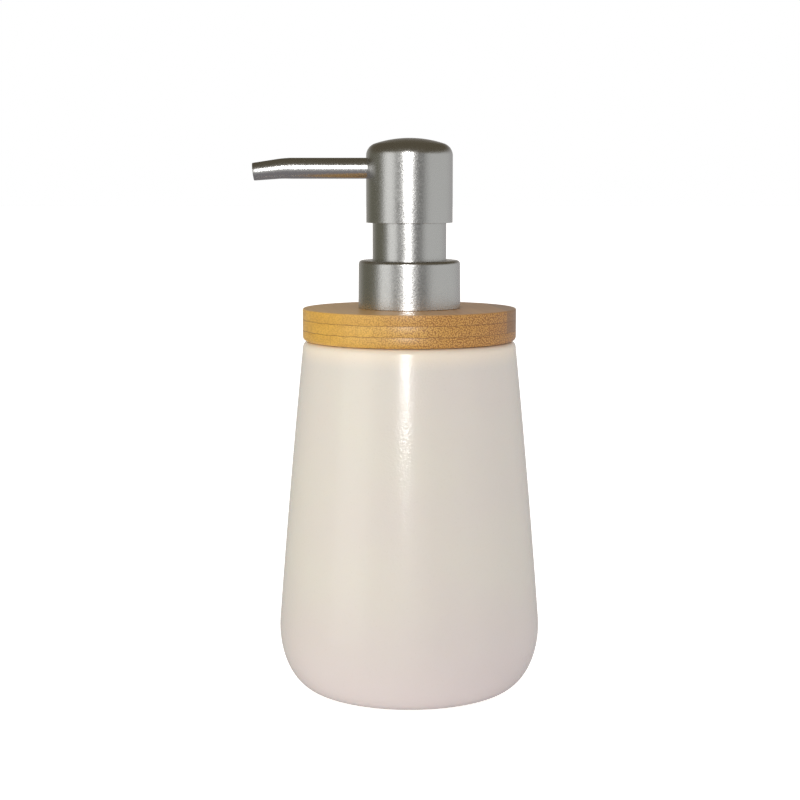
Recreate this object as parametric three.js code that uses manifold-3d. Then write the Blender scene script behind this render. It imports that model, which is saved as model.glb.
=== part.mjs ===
// Soap pump dispenser: a tapered ceramic bottle, a laminated bamboo lid and a screw-on lotion pump.
// Millimetres, +Z up. The origin is the centre of the bottle's flat base, and the spout points to -X.
// Every turned piece is written as an outline of [radius, height] points that runs anticlockwise:
// along the bottom, up the outside, and back over the top and down the inside.
import * as THREE from "three";
import { mergeVertices } from "three/addons/utils/BufferGeometryUtils.js";
import Module from "manifold-3d";

const wasm = await Module();
wasm.setup();

// ---------------------------------------------------------------- driving dimensions

// Facets round a full turn.
const OUTER_SIDES = 48;
const INNER_SIDES = 24;

// Clearances.
const seatGap = 0.05; // between faces that rest on each other
const slideGap = 0.12; // round a piece that slides without turning
const runGap = 0.15; // round a piece that turns
const stopGap = 0.1; // in front of a face that stops a stroke
const headroom = 0.6; // between moving plastic and steel that never meet

// Bottle.
const bottleHeight = 105.2;
const baseRadius = 27.8;
const bellySwell = 11.4;
const bellyHeight = 18.9;
const rimRadius = 31.8;
const rimRound = 2;
const sideBulge = 0.25;
const bottleWall = 4.6;
const bottleFloor = 5;
const rimWall = 5.8;
const mouthDepth = 12;
const mouthChamfer = 0.8;

// Bamboo lid and its silicone ring.
const plyCount = 3;
const plyThickness = 3.2;
const lidEdgeRound = 1.3;
const lidTopChamfer = 0.35;
const plugInset = 2;
const plugDepth = 8.2;
const grooveDepth = 1.6;
const grooveWidth = 3;
const lipCount = 2;
const lipRoot = 0.6;
const lipTipShare = 0.55; // of a lip's height, where its tip is
const lipBackShare = 0.8; // of a lip's height, where its back meets the ring

// Threaded neck insert: a 28 mm closure thread.
const neckRootRadius = 12.55;
const threadDepth = 1.2;
const neckHeight = 10.2;
const neckWall = 2.35;
const insertFlangeWidth = 3.6;
const insertFlangeThickness = 2;
const threadPitch = 4.233;
const threadTurns = 1.25;
const threadBaseWidth = 1.7;
const threadCrestWidth = 0.9;
const threadLeadIn = 2.6;
const threadGap = 0.3; // between the closure's thread and the insert's, measured on the radius

// Collar: plastic closure inside a steel shell.
const closureWall = 0.6;
const collarFlare = 0.15; // by which the shell is wider at its foot than at its top
const collarHeight = 14.15;
const collarCornerRadius = 1;
const shellWall = 0.36;
const closureWebThickness = 1.1;

// Fixed neck of the pump.
const neckHoleClearance = 2.1; // round the stem, in the top of the steel sleeve
const lockRingWall = 1.2;
const lockRingWeb = 1.5;
const guideWall = 1.5;
const guideLength = 17;
const guideDrop = 1; // from the lock ring's web to the top of the housing's neck

// Pump housing.
const gasketThickness = 1.1;
const housingFlangeThickness = 1.2;
const cylinderRadius = 7;
const cylinderWall = 1;
const cylinderDepth = 40.5;
const housingNeckWall = 2.15;
const valveSeatRadius = 1.6;
const valveSeatLand = 1.2; // length of the plain bore below the seat's cone
const chamberWall = 1.2;
const seatConeHeight = 2;
const ballRadius = 2.5;
const ballClearance = 0.9; // round the ball, for the soap to pass
const ballLift = 1.5;
const ventRadius = 0.7;
const cageThickness = 1.6;
const cageBossHeight = 2.5;
const bossWall = 0.7;
const cageHoleRadius = 0.8;
const cageHoleCount = 4;

// Dip tube.
const tubeRadius = 3;
const tubeWall = 1;
const tubeSocketDepth = 9.2;
const tubeFloorGap = 2;

// Spring.
const wireRadius = 0.4;
const springRadius = 4.4;
const springTurns = 8;
const closedEnds = 0.35; // how far the end turns close up, from 0 to 1

// Moving stem, valve and piston.
const stemRadius = 3.5;
const stemWall = 1.3;
const shoulderWidth = 1.2;
const shoulderThickness = 1.1;
const pistonHeight = 6;
const pistonSlip = 1;
const pistonWaist = 0.65;
const springSeatWidth = 0.8; // of the valve head, outside the spring's mean radius
const valveSealWidth = 0.7; // of the piston's recess, over the valve head's edge
const valveHeadThickness = 1.5;
const springBossHeight = 4;
const valveShaftLength = 8.5;
const flatShare = 0.65; // of the valve shaft's radius, at which its two flats lie
const portHeight = 1.8;

// Press head and spout.
const headClearance = 1.32; // between the steel sleeve and the head's skirt
const headHeight = 24.9;
const headGap = 11.1; // from the collar's top to the head's lower edge
const domeRadius = 33;
const domeCornerRadius = 3.8;
const headWall = 0.55;
const spoutDrop = 8.9; // from the dome's top to the spout's axis
const spoutRadius = 3.08;
const spoutNarrowing = 0.46; // of its radius, from the bend to the tip
const spoutWall = 0.38;
const linerWall = 0.6;
const spoutStraight = 35.2; // from the pump's axis to the bend
const spoutBendRadius = 35;
const spoutBendAngle = THREE.MathUtils.degToRad(6.4);
const spoutTipLength = 7.2;
const linerSetback = 0.6; // of the liner's end, behind the spout's tip
const spoutRootGap = 2.4; // from the stem's side to the spout's inner end
const stemSocketRise = 1; // of the stem's socket, above the spout
const coreRoof = 1.8;

// ---------------------------------------------------------------- sizes that follow from them

const mouthRadius = rimRadius - rimWall;
const neckCrestRadius = neckRootRadius + threadDepth;
const closureBore = neckCrestRadius + threadGap;
const closureRadius = closureBore + closureWall;
const collarTopRadius = closureRadius + seatGap + shellWall;
const collarRadius = collarTopRadius + collarFlare;
const housingRadius = cylinderRadius + cylinderWall;
const housingNeckRadius = cylinderRadius + housingNeckWall;
const lockRingBore = housingNeckRadius + slideGap;
const lockRingRadius = lockRingBore + lockRingWall;
const neckShellRadius = lockRingRadius + slideGap + shellWall;
const headRadius = neckShellRadius + headClearance + headWall;
const stemBore = stemRadius - stemWall;
const tubeBore = tubeRadius - tubeWall;
const chamberRadius = ballRadius + ballClearance;
const bossRadius = springRadius - wireRadius - slideGap;
const valveHeadRadius = springRadius + springSeatWidth;
const linerRadius = spoutRadius - spoutWall - seatGap;
const channelRadius = linerRadius - linerWall;
const spoutEnd = spoutStraight + spoutBendRadius * spoutBendAngle + spoutTipLength;
const spoutRoot = stemRadius + spoutRootGap;

// ---------------------------------------------------------------- heights that follow from them

const lidBottom = bottleHeight + seatGap;
const lidTop = lidBottom + plyCount * plyThickness;
const plugRadius = mouthRadius - plugInset;
const plugBottom = lidBottom - plugDepth;
const neckTop = lidTop + neckHeight;
const insertRadius = neckCrestRadius + runGap;
const insertBore = neckRootRadius - neckWall;

const gasketBottom = neckTop + seatGap;
const flangeBottom = gasketBottom + gasketThickness + seatGap;
const flangeTop = flangeBottom + housingFlangeThickness;
const webBottom = flangeTop + stopGap;
const closureTop = webBottom + closureWebThickness;
const collarBottom = lidTop + seatGap;
const collarTop = collarBottom + collarHeight;
const collarWebBottom = collarTop - shellWall;

const headBottom = collarTop + headGap;
const headTop = headBottom + headHeight;
const spoutZ = headTop - spoutDrop;
const socketTop = spoutZ + spoutRadius + stemSocketRise;
const coreBottom = spoutZ - spoutRadius - seatGap - stopGap;
const stroke = headGap - 3 * stopGap;
const neckShellTop = coreBottom - stroke - headroom;
const lockRingTop = neckShellTop - shellWall - seatGap;
const guideBottom = lockRingTop - guideLength;
const housingTop = lockRingTop - lockRingWeb - guideDrop;

const shoulderTop = guideBottom - stopGap;
const shoulderBottom = shoulderTop - shoulderThickness;
const pistonTop = shoulderBottom - pistonSlip - stopGap;
const pistonBottom = pistonTop - pistonHeight;
const valveTop = pistonBottom - stopGap;
const springTop = valveTop - valveHeadThickness - seatGap;
const stemBottom = pistonBottom + pistonSlip;

const cageBottom = flangeBottom - cylinderDepth + seatGap;
const chamberTop = cageBottom - seatGap;
const cageTop = cageBottom + cageThickness;
const springBottom = cageTop + seatGap;
const ballZ = cageBottom - seatGap - ballLift - ballRadius;
const coneSlope = (chamberRadius - valveSeatRadius) / seatConeHeight;
const coneBottom = ballZ - seatGap - (ballRadius * Math.hypot(1, coneSlope) - valveSeatRadius) / coneSlope;
const tubeTop = coneBottom - valveSeatLand;
const housingBottom = tubeTop + seatGap - tubeSocketDepth;
const tubeBottom = bottleFloor + tubeFloorGap;

// ---------------------------------------------------------------- shape helpers

// Points on an elliptical arc about (r, z), from one angle to another, ends included.
function arc(r, z, radiusR, radiusZ, from, to, steps) {
  const points = [];
  for (let i = 0; i <= steps; i++) {
    const angle = from + ((to - from) * i) / steps;
    points.push([r + radiusR * Math.cos(angle), z + radiusZ * Math.sin(angle)]);
  }
  return points;
}

// A solid of revolution about +Z. A ring's outline is closed; a full piece starts and ends on the axis.
function turned(outline, sides, ring = true) {
  const points = outline.map(([r, z]) => new THREE.Vector2(r, z));
  if (ring) points.push(points[0].clone());
  return new THREE.LatheGeometry(points, sides).rotateX(Math.PI / 2);
}

// A plain cylinder along X, used as a cutter.
function drillX(radius, fromX, toX, z, sides = INNER_SIDES) {
  const rod = new THREE.CylinderGeometry(radius, radius, Math.abs(toX - fromX), sides);
  return rod.rotateZ(Math.PI / 2).translate((fromX + toX) / 2, 0, z);
}

// A plain cylinder along Z, used as a cutter.
function drillZ(radius, x, y, fromZ, toZ) {
  const rod = new THREE.CylinderGeometry(radius, radius, toZ - fromZ, 12);
  return rod.rotateX(Math.PI / 2).translate(x, y, (fromZ + toZ) / 2);
}

// A bar of wedge section wound into a right-handed screw ridge round +Z. Its inner and outer faces are
// each a radius and a width.
function screwRidge([innerRadius, innerWidth], [outerRadius, outerWidth], startZ, fromTurn) {
  const bar = new THREE.BoxGeometry(1, 1, 1, Math.round(threadTurns * INNER_SIDES), 1, 1);
  const p = bar.getAttribute("position");
  for (let i = 0; i < p.count; i++) {
    const turn = fromTurn + (p.getX(i) + 0.5) * threadTurns;
    const radius = THREE.MathUtils.lerp(innerRadius, outerRadius, p.getZ(i) + 0.5);
    const width = THREE.MathUtils.lerp(innerWidth, outerWidth, p.getZ(i) + 0.5);
    const angle = turn * 2 * Math.PI;
    const z = startZ + turn * threadPitch + p.getY(i) * width;
    p.setXYZ(i, radius * Math.cos(angle), radius * Math.sin(angle), z);
  }
  return bar;
}

// Manifold solids, for the joins and cuts.
function solid(geometry) {
  const bare = new THREE.BufferGeometry();
  bare.setAttribute("position", geometry.getAttribute("position"));
  bare.setIndex(geometry.index);
  const merged = mergeVertices(bare, 1e-4);
  const made = new wasm.Manifold(
    new wasm.Mesh({
      numProp: 3,
      vertProperties: merged.getAttribute("position").array,
      triVerts: new Uint32Array(merged.index.array),
    }),
  );
  return made;
}

function geometryOf(made) {
  const mesh = made.getMesh();
  const geometry = new THREE.BufferGeometry();
  geometry.setAttribute("position", new THREE.BufferAttribute(mesh.vertProperties, 3));
  geometry.setIndex(new THREE.BufferAttribute(mesh.triVerts, 1));
  geometry.computeVertexNormals();
  return geometry;
}

function cut(geometry, ...cutters) {
  return geometryOf(cutters.reduce((made, cutter) => made.subtract(solid(cutter)), solid(geometry)));
}

function join(geometry, ...others) {
  return geometryOf(others.reduce((made, other) => made.add(solid(other)), solid(geometry)));
}

// ---------------------------------------------------------------- bottle and lid

// Outer radius of the bottle's near-straight side at a height above the belly.
function sideRadius(z, fromR, fromZ) {
  const u = (z - fromZ) / (bottleHeight - rimRound - fromZ);
  return THREE.MathUtils.lerp(fromR, rimRadius, u) + 4 * sideBulge * u * (1 - u);
}

function bottle() {
  const taper = (baseRadius + bellySwell - rimRadius) / (bottleHeight - bellyHeight);
  const tangent = Math.atan((taper * bellyHeight) / bellySwell);
  const foot = arc(baseRadius, bellyHeight, bellySwell, bellyHeight, -Math.PI / 2, tangent, 8);
  const [sideR, sideZ] = foot.at(-1);
  const topOfSide = bottleHeight - rimRound;
  const side = [];
  for (let i = 1; i < 4; i++) {
    const z = THREE.MathUtils.lerp(sideZ, topOfSide, i / 4);
    side.push([sideRadius(z, sideR, sideZ), z]);
  }
  const rim = arc(rimRadius - rimRound, topOfSide, rimRound, rimRound, 0, Math.PI / 2, 3);
  const mouthBottom = bottleHeight - mouthDepth;
  const shoulderZ = mouthBottom - mouthDepth / 2;
  const inside = [
    [mouthRadius + mouthChamfer, bottleHeight],
    [mouthRadius, bottleHeight - mouthChamfer],
    [mouthRadius, mouthBottom],
    [sideRadius(shoulderZ, sideR, sideZ) - bottleWall, shoulderZ],
  ];
  const hollowRadius = bellySwell - bottleWall;
  const hollowHeight = bellyHeight - bottleFloor;
  const well = arc(baseRadius, bellyHeight, hollowRadius, hollowHeight, 0, -Math.PI / 2, 4);
  return turned([[0, 0], ...foot, ...side, ...rim, ...inside, ...well, [0, bottleFloor]], OUTER_SIDES, false);
}

function bambooLid() {
  const grooveMiddle = lidBottom - plugDepth / 2;
  const edge = arc(rimRadius - lidEdgeRound, lidBottom + lidEdgeRound, lidEdgeRound, lidEdgeRound,
    -Math.PI / 2, 0, 3);
  return turned([
    [insertRadius + slideGap, plugBottom],
    [plugRadius, plugBottom],
    [plugRadius, grooveMiddle - grooveWidth / 2],
    [plugRadius - grooveDepth, grooveMiddle - grooveWidth / 2],
    [plugRadius - grooveDepth, grooveMiddle + grooveWidth / 2],
    [plugRadius, grooveMiddle + grooveWidth / 2],
    [plugRadius, lidBottom],
    ...edge,
    [rimRadius, lidTop - lidTopChamfer],
    [rimRadius - lidTopChamfer, lidTop],
    [insertRadius + slideGap, lidTop],
  ], OUTER_SIDES);
}

function lidSealRing() {
  const bottom = lidBottom - plugDepth / 2 - grooveWidth / 2 + seatGap;
  const height = grooveWidth - 2 * seatGap;
  const lipHeight = height / lipCount;
  const body = plugRadius + lipRoot / 2;
  const outline = [[plugRadius - grooveDepth + slideGap, bottom]];
  for (let i = 0; i < lipCount; i++) {
    const z = bottom + i * lipHeight;
    outline.push(
      [body, z],
      [mouthRadius - slideGap, z + lipHeight * lipTipShare],
      [body + lipRoot, z + lipHeight * lipBackShare],
    );
  }
  outline.push([body, bottom + height], [plugRadius - grooveDepth + slideGap, bottom + height]);
  return turned(outline, OUTER_SIDES);
}

function neckInsert() {
  const flangeTopZ = plugBottom - seatGap;
  const flangeBottomZ = flangeTopZ - insertFlangeThickness;
  const body = turned([
    [insertBore, flangeBottomZ],
    [insertRadius + insertFlangeWidth, flangeBottomZ],
    [insertRadius + insertFlangeWidth, flangeTopZ],
    [insertRadius, flangeTopZ],
    [insertRadius, lidTop],
    [neckRootRadius, lidTop],
    [neckRootRadius, neckTop],
    [insertBore, neckTop],
  ], INNER_SIDES);
  const root = [neckRootRadius - neckWall / 4, threadBaseWidth];
  const crest = [neckCrestRadius, threadCrestWidth];
  return join(body, screwRidge(root, crest, lidTop + threadLeadIn, 0.5 / INNER_SIDES));
}

// ---------------------------------------------------------------- collar

function closure() {
  const bottom = collarBottom + stopGap;
  const body = turned([
    [closureBore, bottom],
    [closureRadius, bottom],
    [closureRadius, closureTop - 2 * shellWall],
    [closureRadius - 2 * shellWall, closureTop],
    [housingNeckRadius + runGap, closureTop],
    [housingNeckRadius + runGap, webBottom],
    [closureBore, webBottom],
  ], INNER_SIDES);
  const root = [closureBore + closureWall / 2, threadBaseWidth];
  const crest = [neckRootRadius + threadGap, threadCrestWidth];
  const between = lidTop + threadLeadIn + threadPitch / 2;
  return join(body, screwRidge(crest, root, between, 0.5 / INNER_SIDES - 0.5));
}

function collarShell() {
  const inner = collarTopRadius - shellWall;
  const corner = arc(collarTopRadius - collarCornerRadius, collarTop - collarCornerRadius,
    collarCornerRadius, collarCornerRadius, 0, Math.PI / 2, 4);
  return turned([
    [inner, collarBottom],
    [collarRadius, collarBottom],
    ...corner,
    [neckShellRadius + runGap, collarTop],
    [neckShellRadius + runGap, collarWebBottom],
    [inner - 2 * shellWall, collarWebBottom],
    [inner, collarWebBottom - 2 * shellWall],
  ], OUTER_SIDES);
}

// ---------------------------------------------------------------- pump body

function neckShell() {
  const inner = neckShellRadius - shellWall;
  const bottom = closureTop + seatGap;
  return turned([
    [inner, bottom],
    [neckShellRadius, bottom],
    [neckShellRadius, neckShellTop - shellWall],
    [inner, neckShellTop],
    [stemRadius + neckHoleClearance, neckShellTop],
    [stemRadius + neckHoleClearance, neckShellTop - shellWall],
    [inner - shellWall / 2, neckShellTop - shellWall],
    [inner, neckShellTop - 2 * shellWall],
  ], OUTER_SIDES);
}

function lockRing() {
  const bore = stemRadius + runGap;
  const bottom = closureTop + seatGap;
  const webUnder = lockRingTop - lockRingWeb;
  return turned([
    [bore, guideBottom],
    [bore + guideWall, guideBottom],
    [bore + guideWall, webUnder],
    [lockRingBore, webUnder],
    [lockRingBore, bottom],
    [lockRingRadius, bottom],
    [lockRingRadius, lockRingTop - 2 * shellWall],
    [lockRingRadius - 2 * shellWall, lockRingTop],
    [bore, lockRingTop],
  ], INNER_SIDES);
}

function pumpHousing() {
  const chamberOuter = chamberRadius + chamberWall;
  const flangeRadius = neckRootRadius;
  const tubeHole = tubeRadius + seatGap;
  const body = turned([
    [tubeHole, housingBottom],
    [chamberOuter, housingBottom],
    [chamberOuter, chamberTop - 2 * cylinderWall],
    [housingRadius, chamberTop - cylinderWall],
    [housingRadius, flangeBottom],
    [flangeRadius, flangeBottom],
    [flangeRadius, flangeTop],
    [housingNeckRadius, flangeTop],
    [housingNeckRadius, housingTop],
    [cylinderRadius, housingTop],
    [cylinderRadius, chamberTop],
    [chamberRadius, chamberTop],
    [chamberRadius, coneBottom + seatConeHeight],
    [valveSeatRadius, coneBottom],
    [valveSeatRadius, tubeTop + seatGap],
    [tubeHole, tubeTop + seatGap],
  ], INNER_SIDES);
  const ventZ = flangeBottom - 4 * ventRadius;
  return cut(body, drillX(ventRadius, cylinderRadius / 2, 2 * housingRadius, ventZ, 8));
}

function neckGasket() {
  const inner = housingRadius + runGap;
  return turned([
    [inner, gasketBottom],
    [neckRootRadius - seatGap, gasketBottom],
    [neckRootRadius - seatGap, gasketBottom + gasketThickness],
    [inner, gasketBottom + gasketThickness],
  ], INNER_SIDES);
}

function ballCage() {
  const bossBore = bossRadius - bossWall;
  const bossTop = cageTop + cageBossHeight;
  const plate = turned([
    [0, cageBottom],
    [cylinderRadius - slideGap, cageBottom],
    [cylinderRadius - slideGap, cageTop],
    [bossRadius, cageTop],
    [bossRadius, bossTop],
    [bossBore, bossTop],
    [bossBore, cageTop],
    [0, cageTop],
  ], INNER_SIDES, false);
  const holes = [];
  const circle = bossBore - cageHoleRadius - 2 * seatGap;
  for (let i = 0; i < cageHoleCount; i++) {
    const angle = (i * 2 * Math.PI) / cageHoleCount;
    const [x, y] = [circle * Math.cos(angle), circle * Math.sin(angle)];
    holes.push(drillZ(cageHoleRadius, x, y, cageBottom - cageThickness, cageTop + cageThickness));
  }
  return cut(plate, ...holes);
}

function inletBall() {
  return new THREE.SphereGeometry(ballRadius, 16, 10).rotateX(Math.PI / 2).translate(0, 0, ballZ);
}

function dipTube() {
  const tube = turned([
    [tubeBore, tubeBottom],
    [tubeRadius, tubeBottom],
    [tubeRadius, tubeTop],
    [tubeBore, tubeTop],
  ], 16);
  const size = 6 * tubeRadius;
  const slant = new THREE.BoxGeometry(size, size, size);
  slant.translate(size / 2, 0, -size / 2).rotateY(-Math.PI / 6).translate(-tubeRadius / 3, 0, tubeBottom);
  return cut(tube, slant);
}

// A wire wound into a helix whose end turns lie closer together than the middle ones.
function pumpSpring() {
  const steps = springTurns * 14;
  const wire = new THREE.CylinderGeometry(wireRadius, wireRadius, 1, 6, steps);
  const p = wire.getAttribute("position");
  const low = springBottom + wireRadius;
  const high = springTop - wireRadius;
  for (let i = 0; i < p.count; i++) {
    const u = p.getY(i) + 0.5;
    const angle = u * springTurns * 2 * Math.PI;
    const rise = THREE.MathUtils.lerp(u, THREE.MathUtils.smoothstep(u, 0, 1), closedEnds);
    const z = THREE.MathUtils.lerp(low, high, rise);
    const radius = springRadius + p.getX(i);
    p.setXYZ(i, radius * Math.cos(angle), radius * Math.sin(angle), z + p.getZ(i));
  }
  return wire;
}

// ---------------------------------------------------------------- moving pieces

function valveStem() {
  const bossBottom = valveTop - valveHeadThickness - springBossHeight;
  const shaft = stemBore - runGap;
  const shaftTop = valveTop + valveShaftLength;
  const body = turned([
    [0, bossBottom],
    [bossRadius, bossBottom],
    [bossRadius, valveTop - valveHeadThickness],
    [valveHeadRadius, valveTop - valveHeadThickness],
    [valveHeadRadius, valveTop],
    [shaft, valveTop],
    [shaft, shaftTop],
    [0, shaftTop],
  ], INNER_SIDES, false);
  const flats = [-1, 1].map((side) => {
    const flat = new THREE.BoxGeometry(3 * shaft, shaft, valveShaftLength);
    return flat.translate(0, side * (flatShare + 0.5) * shaft, (valveTop + shaftTop + portHeight) / 2);
  });
  return cut(body, ...flats);
}

function piston() {
  const skirt = cylinderRadius - slideGap;
  const recess = valveHeadRadius - valveSealWidth;
  const recessTop = pistonBottom + pistonHeight / 2;
  const bore = stemRadius + runGap;
  return turned([
    [recess, pistonBottom],
    [skirt, pistonBottom],
    [skirt - pistonWaist, pistonBottom + pistonHeight / 5],
    [skirt - pistonWaist, pistonTop - pistonHeight / 5],
    [skirt, pistonTop],
    [bore, pistonTop],
    [bore, recessTop],
    [recess, recessTop],
  ], INNER_SIDES);
}

function stem() {
  const shoulder = stemRadius + shoulderWidth;
  const top = socketTop - seatGap;
  const body = turned([
    [stemBore, stemBottom],
    [stemRadius, stemBottom],
    [stemRadius, shoulderBottom],
    [shoulder, shoulderBottom],
    [shoulder, shoulderTop],
    [stemRadius, shoulderTop],
    [stemRadius, top],
    [stemBore, top],
  ], INNER_SIDES);
  const slot = new THREE.BoxGeometry(3 * stemRadius, stemRadius / 2, 2 * portHeight);
  slot.translate(0, 0, stemBottom);
  return cut(body, slot, drillX(channelRadius, -2 * stemRadius, 0, spoutZ, 12));
}

// Place and direction of a point on the spout: s is the way along it from the pump's axis, and
// (side, up) is the offset from its centre line.
function onSpout(s, side, up) {
  const arcLength = spoutBendRadius * spoutBendAngle;
  const bent = THREE.MathUtils.clamp(s - spoutStraight, 0, arcLength);
  const angle = bent / spoutBendRadius;
  const past = s > spoutStraight ? s - spoutStraight - bent : s - spoutStraight;
  const along = spoutStraight + spoutBendRadius * Math.sin(angle) + past * Math.cos(angle);
  const drop = spoutBendRadius * (1 - Math.cos(angle)) + past * Math.sin(angle);
  return [-along - up * Math.sin(angle), side, spoutZ - drop + up * Math.cos(angle)];
}

// A tube that follows the spout's centre line and tapers from the bend to the tip.
function spoutPipe(outerRadius, wall, fromS, toS) {
  const stations = [fromS, spoutStraight];
  for (let i = 1; i <= 4; i++) stations.push(spoutStraight + (spoutBendRadius * spoutBendAngle * i) / 4);
  stations.push(toS);
  const narrowing = (s) => {
    const u = THREE.MathUtils.clamp((s - spoutStraight) / (spoutEnd - spoutStraight), 0, 1);
    return u * spoutNarrowing;
  };
  const outline = [];
  for (const s of stations) outline.push([outerRadius - narrowing(s), s]);
  for (const s of stations.toReversed()) outline.push([outerRadius - wall - narrowing(s), s]);
  const pipe = turned(outline, INNER_SIDES);
  const p = pipe.getAttribute("position");
  for (let i = 0; i < p.count; i++) p.setXYZ(i, ...onSpout(p.getZ(i), p.getY(i), p.getX(i)));
  return pipe;
}

function spoutTube() {
  return spoutPipe(spoutRadius, spoutWall, spoutRoot, spoutEnd);
}

function spoutLiner() {
  return spoutPipe(linerRadius, linerWall, spoutRoot, spoutEnd - linerSetback);
}

// Where the head's corner arc meets its dome: both arcs share a tangent there.
const cornerR = headRadius - domeCornerRadius;
const domeCentreZ = headTop - domeRadius;
const cornerZ = domeCentreZ + Math.sqrt((domeRadius - domeCornerRadius) ** 2 - cornerR ** 2);
const tangentAngle = Math.atan2(cornerZ - domeCentreZ, cornerR);

function headShell() {
  const outerCorner = arc(cornerR, cornerZ, domeCornerRadius, domeCornerRadius, 0, tangentAngle, 5);
  const outerDome = arc(0, domeCentreZ, domeRadius, domeRadius, tangentAngle, Math.PI / 2, 3);
  const innerDomeRadius = domeRadius - headWall;
  const innerCornerRadius = domeCornerRadius - headWall;
  const innerDome = arc(0, domeCentreZ, innerDomeRadius, innerDomeRadius, Math.PI / 2, tangentAngle, 2);
  const innerCorner = arc(cornerR, cornerZ, innerCornerRadius, innerCornerRadius, tangentAngle, 0, 2);
  const outline = [
    [headRadius, headBottom],
    ...outerCorner,
    ...outerDome.slice(1, -1),
    [0, headTop],
    [0, headTop - headWall],
    ...innerDome.slice(1),
    ...innerCorner.slice(1),
    [headRadius - headWall, headBottom],
  ];
  const hole = drillX(spoutRadius + slideGap / 2, -2 * headRadius, -headRadius / 2, spoutZ);
  return cut(turned(outline, OUTER_SIDES), hole);
}

function headCore() {
  const outer = headRadius - headWall - slideGap;
  const socket = stemRadius + seatGap;
  const bevel = domeCornerRadius;
  const top = socketTop + coreRoof;
  const body = turned([
    [socket, coreBottom],
    [outer, coreBottom],
    [outer, top - bevel],
    [outer - bevel, top],
    [0, top],
    [0, socketTop],
    [socket, socketTop],
  ], INNER_SIDES);
  const channel = drillX(channelRadius, -2 * spoutRoot, 0, spoutZ, 12);
  const spoutSocket = drillX(spoutRadius + slideGap / 2, -headRadius, -spoutRoot + seatGap, spoutZ);
  return cut(body, channel, spoutSocket);
}

// ---------------------------------------------------------------- assembly

const finish = {
  ceramic: new THREE.MeshStandardMaterial({ color: 0xe4dccf, roughness: 0.45, metalness: 0 }),
  bamboo: new THREE.MeshStandardMaterial({ color: 0xcf9e5c, roughness: 0.5, metalness: 0 }),
  steel: new THREE.MeshStandardMaterial({ color: 0xb9b7b2, roughness: 0.3, metalness: 1 }),
  silicone: new THREE.MeshStandardMaterial({ color: 0xe9e9e4, roughness: 0.7, metalness: 0 }),
  plastic: new THREE.MeshStandardMaterial({ color: 0xf1f1ee, roughness: 0.5, metalness: 0 }),
  tube: new THREE.MeshStandardMaterial({ color: 0xe6eaec, roughness: 0.4, metalness: 0 }),
};

function piece(name, geometry, material) {
  const mesh = new THREE.Mesh(geometry, material.clone());
  mesh.name = name;
  return mesh;
}

function assembly(...children) {
  return new THREE.Group().add(...children);
}

const lid = assembly(
  piece("bamboo_lid", bambooLid(), finish.bamboo),
  piece("lid_seal_ring", lidSealRing(), finish.silicone),
  piece("neck_insert", neckInsert(), finish.plastic),
);

const collar = assembly(
  piece("closure", closure(), finish.plastic),
  piece("collar_shell", collarShell(), finish.steel),
);

const pump = assembly(
  piece("pump_housing", pumpHousing(), finish.plastic),
  piece("neck_gasket", neckGasket(), finish.silicone),
  piece("lock_ring", lockRing(), finish.plastic),
  piece("neck_shell", neckShell(), finish.steel),
  piece("ball_cage", ballCage(), finish.plastic),
  piece("inlet_ball", inletBall(), finish.steel),
  piece("pump_spring", pumpSpring(), finish.steel),
  piece("dip_tube", dipTube(), finish.tube),
);

const head = assembly(
  piece("head_shell", headShell(), finish.steel),
  piece("head_core", headCore(), finish.plastic),
  piece("spout_tube", spoutTube(), finish.steel),
  piece("spout_liner", spoutLiner(), finish.plastic),
  piece("stem", stem(), finish.plastic),
  piece("valve_stem", valveStem(), finish.plastic),
  piece("piston", piston(), finish.silicone),
);

export default assembly(piece("bottle", bottle(), finish.ceramic), lid, collar, pump, head);
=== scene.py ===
import math

import bmesh
import bpy
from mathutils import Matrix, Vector


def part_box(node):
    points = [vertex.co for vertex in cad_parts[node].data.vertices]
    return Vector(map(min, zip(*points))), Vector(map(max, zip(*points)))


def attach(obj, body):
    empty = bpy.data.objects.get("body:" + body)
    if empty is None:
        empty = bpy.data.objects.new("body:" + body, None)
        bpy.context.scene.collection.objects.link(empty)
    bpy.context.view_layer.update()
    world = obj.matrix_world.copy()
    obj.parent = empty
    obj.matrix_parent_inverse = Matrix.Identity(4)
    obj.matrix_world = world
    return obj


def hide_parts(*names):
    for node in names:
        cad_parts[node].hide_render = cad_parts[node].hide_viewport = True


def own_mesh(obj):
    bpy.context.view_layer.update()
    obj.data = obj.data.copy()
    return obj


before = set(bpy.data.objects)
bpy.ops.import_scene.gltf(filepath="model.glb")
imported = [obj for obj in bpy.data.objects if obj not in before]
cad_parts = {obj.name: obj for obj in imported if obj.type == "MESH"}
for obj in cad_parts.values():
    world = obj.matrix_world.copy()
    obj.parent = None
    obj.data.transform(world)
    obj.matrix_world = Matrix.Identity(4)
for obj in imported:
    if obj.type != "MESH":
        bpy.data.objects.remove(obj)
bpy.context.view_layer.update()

MM = 0.001  # shapes are written in millimetres, as the CAD is, and made in metres
CREASE = math.radians(38)  # an edge that bends more than this is shaded as sharp
CLEARANCE = 0.05  # gap between hidden pieces that seat on each other, in millimetres
PLY = 3.2  # thickness of a bamboo ply, in millimetres
STRIP = 19.0  # width of a ply's strips, in millimetres
LIGHT_AIM = 0.11  # the lights face this height on the pump's axis, in metres


# ---------------------------------------------------------------- places, from the frame


def low(node):
    """The height of a node's underside, in millimetres."""
    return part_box(node)[0].z / MM


def high(node):
    """The height of a node's top, in millimetres."""
    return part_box(node)[1].z / MM


def radius(node):
    """The largest radius of a node that is turned round the pump's axis, in millimetres."""
    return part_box(node)[1].y / MM


# ---------------------------------------------------------------- outlines


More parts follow.
